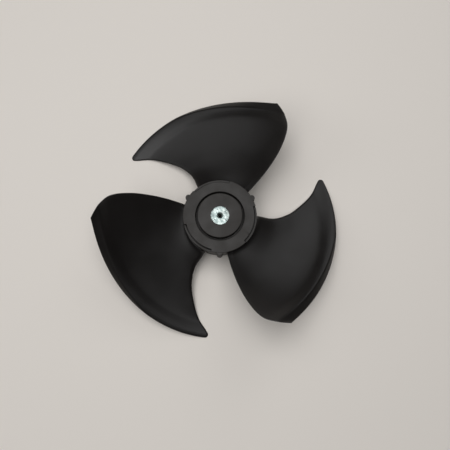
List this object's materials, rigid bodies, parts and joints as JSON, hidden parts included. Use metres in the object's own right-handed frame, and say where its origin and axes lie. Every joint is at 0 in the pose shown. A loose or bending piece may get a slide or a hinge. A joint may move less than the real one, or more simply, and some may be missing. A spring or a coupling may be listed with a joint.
{
  "type": "axial fan impeller",
  "caption": "Axial fan impeller of an air conditioner's outdoor unit: a moulded hub with sickle blades, and a plated bush for the motor shaft.",
  "frame": {"origin": "on the shaft's axis, where the shaft's shoulder seats in the bush", "axes": "+Z along the shaft to the front of the fan, +Y towards the top of the picture, +X to its right"},
  "size_m": [0.4009, 0.3996, 0.1234],
  "materials": {
    "black_plastic": "fine satin texture",
    "plated_steel": "spangled zinc plating"
  },
  "bodies": {
    "root": {"impeller": "black_plastic", "shaft_bush": "plated_steel"}
  },
  "joints": []
}
